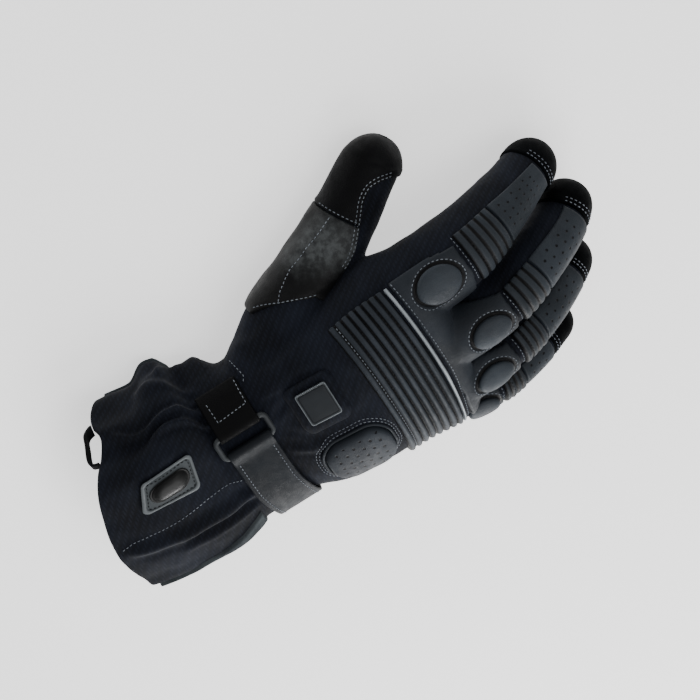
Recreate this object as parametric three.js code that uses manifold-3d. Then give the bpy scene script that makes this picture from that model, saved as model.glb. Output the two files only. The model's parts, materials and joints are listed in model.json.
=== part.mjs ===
// A padded touring glove for the right hand, with a gauntlet cuff, lying palm down.
// Millimetres. +Y runs along the hand to the fingertips, +X to the little finger, +Z up from the
// back of the hand. Every layer follows one of a few skins: the hand with its cuff, or a finger.
// A point of a skin is given by its place along the skin, its angle round the skin (0 on the
// little-finger side, 90 on the back) and its height over the skin.
import * as THREE from "three";
import { mergeVertices } from "three/addons/utils/BufferGeometryUtils.js";
import Module from "manifold-3d";

const wasm = await Module();
wasm.setup();

// Driving sizes
const wall = 2.6; // padded textile wall
const gap = 0.35; // between one piece and the next
const leather = 1.4;
const below = -1; // panels start this far under a skin before they are cut to it
const sole = gap + leather; // the underside panels lie this far out from the skins
const strapWidth = 26;
const strapDrift = 5; // the strap leans towards the fingers on its way round
const barRadius = 1.5; // of the buckle ring's round bars
const ringLength = 30; // between the middles of its short bars
const ringWidth = 12; // between the middles of its long bars
const handSides = 20;
const fingerSides = 10;

// The bounding box's centre, in the frame of the tables below
const boxCentre = { x: -25.01, y: 66.31 };

// Cross-sections of the hand and cuff: the centre's x, half the width, the heights of the palm
// side and the back, and how much higher the forefinger's side is than the little finger's
const handRows = [
  { y: -74, x: -3.8, half: 52.8, low: 0, high: 55, lean: 5 },
  { y: -50, x: -1.9, half: 52.4, low: -1, high: 61, lean: 5 },
  { y: -30, x: -4, half: 55.5, low: -1, high: 60, lean: 2 },
  { y: -21, x: -4.5, half: 53.5, low: 0, high: 59, lean: 1 },
  { y: -14, x: 0, half: 46, low: 2, high: 56, lean: 0 },
  { y: 14, x: 0, half: 46, low: 2, high: 56, lean: 0 },
  { y: 32, x: 1, half: 51, low: 0, high: 62, lean: 1 },
  { y: 58, x: -0.5, half: 53.5, low: -1, high: 68, lean: 2 },
  { y: 84, x: -6.5, half: 56, low: 6, high: 73, lean: 3 },
  { y: 106, x: -8, half: 58, low: 16, high: 75, lean: 4 },
  { y: 130, x: -8, half: 57, low: 26, high: 74, lean: 4 },
];
const handCapStart = 114; // from here the hand rounds off between the fingers
const handCap = 13;
const handRoundness = 2.35;
const rimSlope = { x: 0.2, z: -0.35 }; // the rim runs further back on the little finger's side
// The rim also bulges on its back and on the thumb's side
const rimBows = [
  { depth: 8.5, angle: 92, spread: 40 },
  { depth: 3, angle: 184, spread: 20 },
];
const knuckleSlope = 0.2; // the hand ends sooner at the little finger

// Folds of the cuff: angle, half-width in degrees, depth, and where each fades in and out
const cuffFolds = [
  { angle: 152, spread: 9, depth: -4.5, from: -90, to: -22 },
  { angle: 126, spread: 10, depth: 2.2, from: -90, to: -16 },
  { angle: 100, spread: 12, depth: -1.6, from: -60, to: -12 },
  { angle: 38, spread: 9, depth: 2.4, from: -62, to: -14 },
  { angle: 20, spread: 9, depth: -3, from: -85, to: -16 },
  { angle: 172, spread: 9, depth: 2, from: -80, to: -26 },
  { angle: 204, spread: 21, depth: 10, from: -14, to: 7 },
];

// Each finger: half its width and height at the root, their share left at the tip, the rounded
// tip's length, its roll towards the thumb, and its middle line from inside the hand to the tip
const fingers = {
  index: {
    wide: 21.3,
    tall: 21,
    narrow: 0.64,
    cap: 15,
    turn: 9,
    line: [
      [-41.5, 92, 47],
      [-45, 118, 52],
      [-46.5, 146, 51],
      [-48.5, 174, 41],
      [-49.3, 197, 28],
      [-49, 213.5, 16],
    ],
  },
  middle: {
    wide: 16,
    tall: 18.5,
    narrow: 0.84,
    cap: 15,
    turn: -2,
    line: [
      [-7.5, 92, 52],
      [-7.5, 120, 57],
      [-9.5, 152, 56],
      [-13.5, 180, 46.5],
      [-16, 203, 31.5],
      [-20.5, 217, 16.5],
    ],
  },
  ring: {
    wide: 14.4,
    tall: 17,
    narrow: 0.86,
    cap: 15,
    turn: -8,
    line: [
      [22, 90, 47],
      [22, 114, 52],
      [22, 142, 49],
      [21, 170, 38],
      [19, 193, 23],
      [17, 207, 12],
    ],
  },
  little: {
    wide: 12.3,
    tall: 15,
    narrow: 0.88,
    cap: 13,
    turn: -22,
    line: [
      [40, 78, 34],
      [42.6, 102, 38.5],
      [47.1, 128, 38],
      [49, 153, 30],
      [50.3, 172, 19],
      [50.8, 183, 12],
    ],
  },
};
const thumb = {
  wide: 21.2,
  tall: 18.5,
  narrow: 0.72,
  cap: 16,
  turn: 0,
  line: [
    [-31, 24, 29],
    [-49.5, 49, 26],
    [-63.2, 77.7, 23.5],
    [-79.3, 104.7, 20],
    [-94.2, 126.8, 17.5],
    [-104.2, 143.4, 15.5],
  ],
};

// Where the leather lies on each finger, in millimetres from its root: the oval pad's middle,
// half-length and half-width, the gathered pleats, the perforated panel, and the tip cap's start
const fingerLeather = {
  index: { pad: [36, 10, 9.5], pleats: [53, 74], pleatCount: 5, back: [75, 110], tip: 112 },
  middle: { pad: [46, 9.5, 7.6], pleats: [62, 80], pleatCount: 4, back: [81, 116], tip: 118 },
  ring: { pad: [38, 9, 7.1], pleats: [55, 70], pleatCount: 4, back: [71, 105], tip: 107 },
  little: { pad: [39, 8, 6.4], pleats: [51, 63], pleatCount: 4, back: [64, 84], tip: 86 },
};
const fingerLeatherSpan = [44, 140]; // degrees covered on the back of each finger

// The leather over the knuckles, seen from above: a wavy front edge along the fingers
const knuckleOutline = [
  [-60, 104.9],
  [-62, 126],
  [-60, 143],
  [-45, 145],
  [-30, 143],
  [-25.5, 130],
  [-24, 130],
  [-21, 152],
  [-8, 154],
  [2, 152],
  [4, 121],
  [10, 121],
  [13, 143],
  [22, 145],
  [32, 143],
  [35, 117],
  [37, 117],
  [39, 127],
  [50, 128],
  [60, 126],
  [62, 106.9],
  [40, 108.6],
  [20, 109.3],
  [-10, 109.3],
  [-40, 107.9],
];

// Materials, one for each finish
const finish = (color, roughness, metalness = 0) =>
  new THREE.MeshStandardMaterial({ color, roughness, metalness });
const textile = finish(0x14161b, 0.85);
const backLeather = finish(0x2b2e34, 0.55);
const palmLeather = finish(0x16171a, 0.6);
const gussetLeather = finish(0x50565a, 0.7);
const rubber = finish(0x54585a, 0.6);
const gloss = finish(0x0c0d0e, 0.15);
const reflective = finish(0xa4abb0, 0.4);
const buckleMetal = finish(0x5d6164, 0.45, 0.3);
const webbing = finish(0x101114, 0.9);

const glove = new THREE.Group();
const toRadians = THREE.MathUtils.degToRad;
const smooth = THREE.MathUtils.smoothstep;

// A value of the hand's rows at y: a cubic through the rows with slopes that never overshoot
function handValue(key, y) {
  const last = handRows.length - 1;
  let i = handRows.findIndex((row) => row.y > y) - 1;
  if (y >= handRows[last].y) i = last - 1;
  i = Math.max(0, i);
  const chord = (k) =>
    (handRows[k + 1][key] - handRows[k][key]) / (handRows[k + 1].y - handRows[k].y);
  const slope = (k) => {
    if (k === 0 || k === last) return chord(Math.min(k, last - 1));
    const [before, after] = [chord(k - 1), chord(k)];
    return before * after <= 0 ? 0 : (2 * before * after) / (before + after);
  };
  const length = handRows[i + 1].y - handRows[i].y;
  const t = THREE.MathUtils.clamp((y - handRows[i].y) / length, 0, 1);
  const [a, b] = [handRows[i][key], handRows[i + 1][key]];
  return (
    a * (1 + 2 * t) * (1 - t) ** 2 +
    slope(i) * length * t * (1 - t) ** 2 +
    b * t * t * (3 - 2 * t) +
    slope(i + 1) * length * t * t * (t - 1)
  );
}

// The folds' height at an angle and a place along the cuff
function foldHeight(degrees, y) {
  let height = 0;
  for (const fold of cuffFolds) {
    const across = (((degrees - fold.angle + 540) % 360) - 180) / fold.spread;
    const along = 1 - smooth(y, (fold.from + fold.to) / 2, fold.to);
    height += fold.depth * Math.exp(-across * across) * along;
  }
  return height;
}

const rounded = (value, roundness) => Math.sign(value) * Math.abs(value) ** (2 / roundness);

// A point of the hand's and cuff's skin
function handPoint(y, degrees, offset) {
  const into = Math.max(0, y - handCapStart) / (handCap + offset);
  const shrink = Math.sqrt(Math.max(0, 1 - into * into));
  const angle = toRadians(degrees);
  const out = offset + foldHeight(degrees, y);
  const high = handValue("high", y);
  const low = handValue("low", y);
  const across = rounded(Math.cos(angle), handRoundness);
  const up = rounded(Math.sin(angle), handRoundness);
  const halfWidth = handValue("half", y) + out;
  const halfHeight = (high - low) / 2 + out;
  const x = handValue("x", y) + halfWidth * across * (0.75 + 0.25 * shrink);
  const z =
    (high + low) / 2 + (halfHeight * up - handValue("lean", y) * across) * shrink;
  const bow = rimBows.reduce((sum, { depth, angle: middle, spread: width }) => {
    const away = (((degrees - middle + 540) % 360) - 180) / width;
    return sum + depth * Math.exp(-away * away);
  }, 0);
  const slide =
    (1 - smooth(y, -72, -18)) * (rimSlope.z * (z - 30) - rimSlope.x * x) -
    (1 - smooth(y, -74, -50)) * bow -
    smooth(y, 98, 126) * knuckleSlope * Math.max(0, x);
  return new THREE.Vector3(x, y + slide, Math.max(z, sole - offset));
}

// A finger's skin, with places in millimetres from its root
function fingerSkin({ wide, tall, narrow, cap, turn, line }) {
  const curve = new THREE.CatmullRomCurve3(line.map((p) => new THREE.Vector3(...p)));
  curve.arcLengthDivisions = 400;
  const length = curve.getLength();
  const point = (place, degrees, offset) => {
    const along = Math.min(place, length) / length;
    const tangent = curve.getTangentAt(along);
    const side = tangent.clone().cross(new THREE.Vector3(0, 0, 1)).normalize();
    const normal = side.clone().cross(tangent);
    const taper = 1 - (1 - narrow) * smooth(along, 0.25, 1);
    const into = Math.max(0, place - (length - cap)) / (cap + offset);
    const shrink = Math.sqrt(Math.max(0, 1 - into * into));
    const angle = toRadians(degrees + turn);
    const at = curve
      .getPointAt(along)
      .addScaledVector(tangent, place - along * length)
      .addScaledVector(side, Math.cos(angle) * (wide * taper + offset) * shrink)
      .addScaledVector(normal, Math.sin(angle) * (tall * taper + offset) * shrink);
    return at.setZ(Math.max(at.z, sole - offset));
  };
  return { point, length, capStart: length - cap };
}

const skins = Object.fromEntries(
  Object.entries({ ...fingers, thumb }).map(([name, sizes]) => [name, fingerSkin(sizes)]),
);

const spread = (from, to, count) =>
  Array.from({ length: count + 1 }, (_, k) => from + ((to - from) * k) / count);

// Rings of points round a skin, one for each place
const ringsOf = (point, places, sides, offset) =>
  places.map((place) =>
    Array.from({ length: sides }, (_, k) => point(place, (k * 360) / sides, offset)),
  );

// Gathers triangles of points into one closed geometry
function surface() {
  const corners = [];
  const triangle = (a, b, c) => corners.push(a, b, c);
  return {
    quad(a, b, c, d) {
      triangle(a, b, c);
      triangle(a, c, d);
    },
    // The bands between rings, closed round each ring
    bands(rings) {
      for (let i = 0; i + 1 < rings.length; i++)
        for (let j = 0; j < rings[i].length; j++) {
          const next = (j + 1) % rings[i].length;
          this.quad(rings[i][j], rings[i + 1][j], rings[i + 1][next], rings[i][next]);
        }
    },
    fan(centre, ring) {
      ring.forEach((p, j) => triangle(centre, p, ring[(j + 1) % ring.length]));
    },
    geometry: () => new THREE.BufferGeometry().setFromPoints(corners),
  };
}

const reversed = (ring) => ring.slice().reverse();
const middleOf = (ring) =>
  ring
    .reduce((sum, p) => sum.add(p), new THREE.Vector3())
    .divideScalar(ring.length);

// A solid through rings, ending in a point at each end
function plug(rings, pole = middleOf(rings.at(-1))) {
  const made = surface();
  made.fan(middleOf(rings[0]), rings[0]);
  made.bands(rings);
  made.fan(pole, reversed(rings.at(-1)));
  return made.geometry();
}

// A wall between outer and inner rings, open at the root and closed at the tip
function thimble(outer, outerPole, inner, innerPole) {
  const made = surface();
  made.bands([inner[0], ...outer]);
  made.fan(outerPole, reversed(outer.at(-1)));
  made.bands(inner.map(reversed));
  made.fan(innerPole, inner.at(-1));
  return made.geometry();
}

// A wall between outer and inner rings, open at both ends
function sleeve(outer, inner) {
  const made = surface();
  made.bands([inner[0], ...outer, inner.at(-1)]);
  made.bands(inner.map(reversed));
  return made.geometry();
}

// A panel on a skin: its places, its angles, and the height of its top over the skin. It starts
// below the skin, so that the form that it lies on can be cut from it.
function panel(point, places, angles, top) {
  const upper = places.map((u) => angles.map((v) => point(u, v, top(u))));
  const lower = places.map((u) => angles.map((v) => point(u, v, below)));
  const made = surface();
  const border = (grid) => [
    ...grid[0],
    ...grid.slice(1, -1).map((row) => row.at(-1)),
    ...reversed(grid.at(-1)),
    ...reversed(grid.slice(1, -1).map((row) => row[0])),
  ];
  for (let i = 0; i + 1 < places.length; i++)
    for (let j = 0; j + 1 < angles.length; j++) {
      made.quad(upper[i][j], upper[i + 1][j], upper[i + 1][j + 1], upper[i][j + 1]);
      made.quad(lower[i][j], lower[i][j + 1], lower[i + 1][j + 1], lower[i + 1][j]);
    }
  made.bands([border(lower), border(upper)]);
  return made.geometry();
}

const level = (height) => () => height;

// Manifold-3d joins and cuts these solids
function toSolid(geometry) {
  const flat = geometry.index ? geometry.toNonIndexed() : geometry;
  const bare = new THREE.BufferGeometry();
  bare.setAttribute("position", flat.getAttribute("position"));
  const merged = mergeVertices(bare, 1e-3);
  return new wasm.Manifold(
    new wasm.Mesh({
      numProp: 3,
      vertProperties: merged.getAttribute("position").array,
      triVerts: new Uint32Array(merged.index.array),
    }),
  );
}

const fitted = (geometry, form) => toSolid(geometry).subtract(form);

function toGeometry(solid) {
  const mesh = solid.getMesh();
  const geometry = new THREE.BufferGeometry();
  geometry.setAttribute("position", new THREE.BufferAttribute(mesh.vertProperties, 3));
  geometry.setIndex(new THREE.BufferAttribute(mesh.triVerts, 1));
  return geometry;
}

function add(name, shape, material) {
  const geometry = shape.isBufferGeometry ? shape : toGeometry(shape);
  const mesh = new THREE.Mesh(geometry, material);
  mesh.name = name;
  glove.add(mesh);
  return mesh;
}

// Solid forms of the skins at an offset, for joining and cutting
const handPlaces = (offset, from) => [
  from,
  ...[-60, -45, -30, -14, 14, 34, 56, 80, 100].filter((y) => y > from + 4),
  handCapStart,
  ...[0.45, 0.75, 0.95].map((share) => handCapStart + (handCap + offset) * share),
];
const handPole = (offset) => handPoint(handCapStart + handCap + offset, 90, offset);
const handRings = (offset, from) =>
  ringsOf(handPoint, handPlaces(offset, from), handSides, offset);

function fingerRings(name, offset, from = 0, tubeCount = 5, capCount = 3) {
  const { point, length, capStart } = skins[name];
  const places = [
    ...spread(from, capStart, tubeCount),
    ...spread(0, Math.PI / 2, capCount)
      .slice(1, -1)
      .map((turn) => capStart + (length + offset - capStart) * Math.sin(turn)),
  ];
  return [
    ringsOf(point, places, fingerSides, offset),
    point(length + offset, 90, offset),
  ];
}

const unite = (solids) => solids.reduce((sum, solid) => sum.add(solid));
const fingerNames = Object.keys(fingers);
const digitNames = [...fingerNames, "thumb"];
const handForm = (offset) => toSolid(plug(handRings(offset, -6), handPole(offset)));
const fingerForm = (name, offset) => toSolid(plug(...fingerRings(name, offset)));
const backForm = (offset) =>
  unite([handForm(offset), ...fingerNames.map((name) => fingerForm(name, offset))]);

// The hand's shell, open at the wrist and at the root of each finger
const wristEnd = gap / 2;
const handWall = toSolid(
  thimble(
    handRings(0, wristEnd),
    handPole(0),
    handRings(-wall, wristEnd),
    handPole(-wall),
  ),
);
const fingerHollows = unite(digitNames.map((name) => fingerForm(name, -wall)));
const handShell = handWall.subtract(fingerHollows);

// A side seam divides the shell into a back and a palm, halfway up the hand and the fingers
const seamHeight = 29;
const seamRise = 0.165; // for each millimetre towards the fingers

// One side of the seam: 1 is the back and -1 is the palm
function sideOfSeam(solid, side) {
  const height = seamHeight * side + gap / 2;
  return solid.trimByPlane([0, -seamRise * side, side], height / Math.hypot(1, seamRise));
}
add("hand_back", sideOfSeam(handShell, 1), textile);
add("hand_palm", sideOfSeam(handShell, -1), textile);

const underHand = handForm(gap);
const underBack = backForm(gap);
const underAll = underBack.add(fingerForm("thumb", gap));

// The fingers and the thumb are hollow walls sewn to the hand's shell
for (const name of digitNames) {
  const tube = thimble(...fingerRings(name, 0), ...fingerRings(name, -wall));
  const node = name === "thumb" ? "thumb" : `${name}_finger`;
  add(node, fitted(tube, underHand), textile);
}

// The gauntlet cuff, from the wrist seam to its slanting rim
const cuffPlaces = [-74, -60, -45, -30, -21, -14, -wristEnd];
const cuffRings = (offset) => ringsOf(handPoint, cuffPlaces, handSides, offset);
add("cuff", sleeve(cuffRings(0), cuffRings(-wall)), textile);
const underCuff = toSolid(plug(cuffRings(gap)));

// Leather on the palm side
const palmPanel = panel(handPoint, spread(23, 104, 4), spread(222, 330, 6), level(sole));
add("palm_panel", fitted(palmPanel, underAll), palmLeather);
const cuffPalm = panel(handPoint, spread(-70, -16, 4), spread(208, 406, 11), level(sole));
add("cuff_palm_panel", fitted(cuffPalm, underCuff), gussetLeather);

// Accordion pleats on the back of the hand, with the reflective strip beyond them
const pleatSpan = [14, 148];
const bowedPoint = (y, degrees, offset) => {
  const share = (degrees - pleatSpan[0]) / (pleatSpan[1] - pleatSpan[0]);
  const bow = 3.6 * Math.sin(Math.PI * share) + 2.5 * (1 - share);
  return handPoint(y + bow, degrees, offset);
};
const ribs = (count, from, to, low, high) => {
  const places = spread(from, to, count * 2);
  const pitch = (to - from) / (count * 2);
  const height = (place) => (Math.round((place - from) / pitch) % 2 ? high : low);
  return { places, height };
};
const backRibs = ribs(8, 66, 100, 1.5, 3.1);
const pleatAngles = spread(...pleatSpan, 8);
const backPleats = panel(bowedPoint, backRibs.places, pleatAngles, backRibs.height);
add("back_pleats", fitted(backPleats, underBack), backLeather);
const strip = panel(bowedPoint, [101, 103.2], pleatAngles, level(2.4));
add("reflective_strip", fitted(strip, underBack), reflective);

// The leather over the knuckles wraps the hand and the roots of the fingers
const knuckleShape = new THREE.Shape(knuckleOutline.map((p) => new THREE.Vector2(...p)));
const knuckleCutter = new THREE.ExtrudeGeometry(knuckleShape, {
  depth: 70,
  bevelEnabled: false,
}).translate(0, 0, 46);
const knuckleLayer = backForm(sole).subtract(underBack);
add("knuckle_panel", knuckleLayer.intersect(toSolid(knuckleCutter)), backLeather);

// Flat outlines, x along the skin and y round it
const oval = (halfLong, halfWide, count) =>
  spread(0, Math.PI * 2, count)
    .slice(1)
    .map((turn) => new THREE.Vector2(halfLong * Math.cos(turn), halfWide * Math.sin(turn)));

function roundedBox(long, wide, corner) {
  const shape = new THREE.Shape();
  const [x, y] = [long / 2 - corner, wide / 2 - corner];
  shape.absarc(x, y, corner, 0, Math.PI / 2);
  shape.absarc(-x, y, corner, Math.PI / 2, Math.PI);
  shape.absarc(-x, -y, corner, Math.PI, Math.PI * 1.5);
  shape.absarc(x, -y, corner, Math.PI * 1.5, Math.PI * 2);
  return shape;
}

// A raised cushion over a flat outline; each step is a share of the outline and a height
function cushion(outline, steps) {
  const clockwise = reversed(outline);
  const rings = steps.map(([share, height]) =>
    clockwise.map((p) => new THREE.Vector3(p.x * share, p.y * share, height)),
  );
  return plug(rings);
}

// Bends a flat geometry onto a skin, its origin at a place and an angle
function lay(geometry, point, place, degrees) {
  const perDegree = point(place, degrees, 0).distanceTo(point(place, degrees + 1, 0));
  const bent = geometry.index ? geometry.toNonIndexed() : geometry.clone();
  const position = bent.getAttribute("position");
  const flat = new THREE.Vector3();
  for (let i = 0; i < position.count; i++) {
    flat.fromBufferAttribute(position, i);
    const at = point(place + flat.x, degrees + flat.y / perDegree, flat.z);
    position.setXYZ(i, at.x, at.y, at.z);
  }
  return bent;
}

// Fingers: the knuckle pad, gathered pleats, perforated leather and tip cap
const underPads = backForm(sole + gap);
const fingerAngles = spread(...fingerLeatherSpan, 4);
for (const name of fingerNames) {
  const { pad, pleats, pleatCount, back, tip } = fingerLeather[name];
  const [padPlace, padLong, padWide] = pad;
  const { point } = skins[name];
  const underFinger = fingerForm(name, gap);
  const padForm = cushion(oval(padLong, padWide, 14), [
    [1, 0.5],
    [1, 2.5],
    [0.84, 3.3],
    [0.45, 3.7],
  ]);
  add(`${name}_knuckle_pad`, fitted(lay(padForm, point, padPlace, 90), underPads), backLeather);

  const rib = ribs(pleatCount, ...pleats, 0.9, 2.4);
  const gathered = panel(point, rib.places, fingerAngles, rib.height);
  add(`${name}_pleats`, fitted(gathered, underFinger), backLeather);
  const backPanel = panel(point, spread(...back, 3), fingerAngles, level(sole));
  add(`${name}_back`, fitted(backPanel, underFinger), backLeather);
  const tipForm = plug(...fingerRings(name, sole, tip, 1));
  add(`${name}_tip_cap`, fitted(tipForm, underFinger), palmLeather);
}

// Leather on the outer and palm sides of the thumb, in two pieces with a seam across
const thumbSkin = skins.thumb;
const thumbSpan = spread(52, 300, 7);
const thumbPanel = panel(thumbSkin.point, spread(44, 96, 4), thumbSpan, level(sole));
add("thumb_panel", fitted(thumbPanel, underAll), palmLeather);
const thumbTipPlaces = [97, 112, thumbSkin.capStart + 4, thumbSkin.capStart + 11];
const thumbTip = panel(thumbSkin.point, thumbTipPlaces, thumbSpan, level(sole));
add("thumb_tip_panel", fitted(thumbTip, underAll), palmLeather);

// The perforated guard on the little-finger side of the wrist
const guardOutline = roundedBox(38.5, 30, 12).getPoints(2);
const guardForm = cushion(guardOutline, [
  [1, below],
  [1, 2.6],
  [0.9, 4.2],
  [0.6, 4.9],
]);
add("wrist_guard", fitted(lay(guardForm, handPoint, 46, 67), underHand), backLeather);

// The heating button: a pocket with a rigid bezel and a soft face on it
const buttonPlace = [42, 110];
const pocketForm = cushion(roundedBox(27, 30, 5).getPoints(2), [
  [1, below],
  [1, 0.9],
  [0.88, 2.6],
  [0.72, 2.9],
]);
const pocket = lay(pocketForm, handPoint, ...buttonPlace);
add("button_pocket", fitted(pocket, underHand), textile);
const pocketTop = 3.5;
const bezelShape = roundedBox(18, 18, 2);
bezelShape.holes.push(roundedBox(15, 15, 1));
const extrude = (shape, depth, curveSegments = 2) =>
  new THREE.ExtrudeGeometry(shape, { depth, bevelEnabled: false, curveSegments });
const bezel = extrude(bezelShape, 3).translate(0, 0, pocketTop);
add("button_bezel", lay(bezel, handPoint, ...buttonPlace), reflective);
const face = extrude(roundedBox(14.3, 14.3, 1), 2.5).translate(0, 0, pocketTop);
add("button_face", lay(face, handPoint, ...buttonPlace), rubber);

// The port badge on the cuff: a frame with a glossy stadium dome inside it
const portPlace = [-43, 108.5];
const portTurn = toRadians(-12);
const portShape = roundedBox(27, 20, 3);
portShape.holes.push(roundedBox(21.5, 12.5, 5.5));
const portFrame = extrude(portShape, 3).translate(0, 0, below).rotateZ(portTurn);
add("port_frame", fitted(lay(portFrame, handPoint, ...portPlace), underCuff), rubber);
const domeForm = cushion(roundedBox(20.7, 11.7, 5.8).getPoints(2), [
  [1, below],
  [1, 2],
  [0.86, 4],
  [0.5, 5],
]).rotateZ(portTurn);
add("port_dome", fitted(lay(domeForm, handPoint, ...portPlace), underCuff), gloss);

// The buckle ring lies on the wrist, where the section is the same for the strap's whole width
const ringAngle = 112;
const ringHeight = gap + leather + gap + barRadius;
const ringCentre = handPoint(0, ringAngle, ringHeight);
const ringAcross = handPoint(0, ringAngle + 3, ringHeight)
  .sub(handPoint(0, ringAngle - 3, ringHeight))
  .normalize();
const ringUp = new THREE.Vector3(0, 1, 0).cross(ringAcross).normalize();
const cornerCut = 1.6;
const [barX, barY] = [ringWidth / 2, ringLength / 2];
const ringCorners = [
  [barX, -barY + cornerCut],
  [barX, barY - cornerCut],
  [barX - cornerCut, barY],
  [-barX + cornerCut, barY],
  [-barX, barY - cornerCut],
  [-barX, -barY + cornerCut],
  [-barX + cornerCut, -barY],
  [barX - cornerCut, -barY],
].map(([across, along]) => new THREE.Vector3(across, along, 0));
const barRings = ringCorners.map((corner, i) => {
  const ahead = ringCorners[(i + 1) % 8].clone().sub(ringCorners[(i + 7) % 8]);
  const side = new THREE.Vector3(ahead.y, -ahead.x, 0).normalize();
  return spread(0, Math.PI * 2, 8)
    .slice(1)
    .map((turn) =>
      corner
        .clone()
        .addScaledVector(side, barRadius * Math.cos(turn))
        .setZ(barRadius * Math.sin(turn)),
    );
});
const ringSurface = surface();
ringSurface.bands([...barRings, barRings[0]]);
const buckleRing = add("buckle_ring", ringSurface.geometry(), buckleMetal);
buckleRing.position.copy(ringCentre);
buckleRing.rotation.y = Math.atan2(-ringAcross.z, ringAcross.x);

// A leather band seen from its edge: its path in the wrist's section, extruded along the hand
function band(path, width) {
  const sides = [1, -1].map((side) =>
    path.map((p, i) => {
      const before = path[Math.max(0, i - 1)];
      const after = path[Math.min(path.length - 1, i + 1)];
      const [dx, dz] = [after.x - before.x, after.z - before.z];
      const shift = (side * leather) / 2 / Math.hypot(dx, dz);
      return new THREE.Vector2(p.x - dz * shift, p.z + dx * shift);
    }),
  );
  const shape = new THREE.Shape([...sides[0], ...reversed(sides[1])]);
  return extrude(shape, width).rotateX(Math.PI / 2).translate(0, width / 2, 0);
}

// The path round one long bar of the ring, from under it to over it or back
function roundBar(side, fromAngle, toAngle) {
  const centre = ringCentre.clone().addScaledVector(ringAcross, side * barX);
  const reach = barRadius + gap + leather / 2;
  return spread(toRadians(fromAngle), toRadians(toAngle), 6).map((turn) =>
    centre
      .clone()
      .addScaledVector(ringAcross, reach * Math.cos(turn))
      .addScaledVector(ringUp, reach * Math.sin(turn)),
  );
}
const alongSkin = (from, to, count, height) =>
  spread(from, to, count).map((degrees) => handPoint(0, degrees, height));
const lowerLayer = gap + leather / 2;
const upperLayer = lowerLayer + leather + gap;

// The patch is sewn down on the thumb side and rolls over the ring's nearer bar
const patchPath = [
  ...alongSkin(160, 138, 4, upperLayer + 0.2),
  ...roundBar(1, 80, 270),
  ...alongSkin(132, 160, 5, lowerLayer),
];
add("strap_patch", band(patchPath, strapWidth - 2), palmLeather);

// The strap comes back through the ring and runs round the little-finger side
const strapPath = [
  ...alongSkin(70, 106, 6, lowerLayer),
  ...roundBar(-1, -90, 100),
  ...alongSkin(98, -34, 17, upperLayer + 0.2),
];
const strap = band(strapPath, strapWidth);
const strapCorners = strap.getAttribute("position");
for (let i = 0; i < strapCorners.count; i++) {
  const drift = strapDrift * smooth(strapCorners.getX(i), 12, 50);
  strapCorners.setY(i, strapCorners.getY(i) + drift);
}
add("wrist_strap", strap, backLeather);

// The webbing pull loop sewn to the rim
const loopTurns = spread(Math.PI / 2, Math.PI * 1.5, 12);
const loopEdge = (long, wide) =>
  loopTurns.map((turn) => new THREE.Vector2(long * Math.cos(turn), wide * Math.sin(turn)));
const loopShape = new THREE.Shape([...loopEdge(8.6, 12), ...reversed(loopEdge(7.2, 10.6))]);
const loopForm = extrude(loopShape, 6).translate(0, 0, -4.5);
add("pull_loop", lay(loopForm, handPoint, -75, 165), webbing);

glove.position.set(-boxCentre.x, -boxCentre.y, 0);
export default glove;
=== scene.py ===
import json
import math

import bpy
import numpy as np
from mathutils import Matrix, Vector, noise
from mathutils.bvhtree import BVHTree


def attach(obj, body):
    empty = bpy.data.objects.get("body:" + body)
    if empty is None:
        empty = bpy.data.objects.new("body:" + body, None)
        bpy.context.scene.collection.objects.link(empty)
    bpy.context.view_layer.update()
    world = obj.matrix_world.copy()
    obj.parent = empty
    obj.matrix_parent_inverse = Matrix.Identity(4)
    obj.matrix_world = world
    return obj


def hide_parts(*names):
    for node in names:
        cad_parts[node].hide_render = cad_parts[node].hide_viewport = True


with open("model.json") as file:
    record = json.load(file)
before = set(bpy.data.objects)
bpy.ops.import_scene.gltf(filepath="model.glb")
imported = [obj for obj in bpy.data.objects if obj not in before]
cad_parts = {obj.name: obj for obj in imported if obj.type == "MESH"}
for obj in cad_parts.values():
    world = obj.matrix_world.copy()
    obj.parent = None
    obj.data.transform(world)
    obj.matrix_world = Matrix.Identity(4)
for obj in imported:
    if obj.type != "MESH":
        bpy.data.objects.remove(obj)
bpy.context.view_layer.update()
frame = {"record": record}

# Shapes are worked out in millimetres, in the frame of the tables below, and turned into
# metres in the row frame when a piece is made. +Y runs to the fingertips, +X to the little
# finger and +Z up. A skin's point is its place, its angle (90 is the back) and its height.
tableCentre = np.array([-25.01, 66.31, 0.0])
hand = {
    "rows": np.array([
        # y, x, half width, low, high, lean
        [-74, -3.8, 52.8, 0, 55, 5],
        [-50, -1.9, 52.4, -1, 61, 5],
        [-30, -4, 55.5, -1, 60, 2],
        [-21, -4.5, 53.5, 0, 59, 1],
        [-14, 0, 46, 2, 56, 0],
        [14, 0, 46, 2, 56, 0],
        [32, 1, 51, 0, 62, 1],
        [58, -0.5, 53.5, -1, 68, 2],
        [84, -6.5, 56, 6, 73, 3],
        [106, -8, 58, 16, 75, 4],
        [130, -8, 57, 26, 74, 4],
    ], float),
    "capStart": 114,
    "cap": 13,
    "roundness": 2.35,
    "rimSlope": (0.2, -0.35),
    "rimBows": [(8.5, 92, 40), (3, 184, 20), (-5, 168, 12)],  # depth, angle, spread
    "knuckleSlope": 0.2,
    # angle, spread, depth, from, to
    "folds": [
        (152, 9, -4.5, -90, -22),
        (126, 10, 2.2, -90, -16),
        (100, 12, -1.6, -60, -12),
        (38, 9, 2.4, -62, -14),
        (20, 9, -3, -85, -16),
        (172, 9, 2, -80, -26),
        (204, 21, 10, -14, 7),
    ],
}
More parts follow.
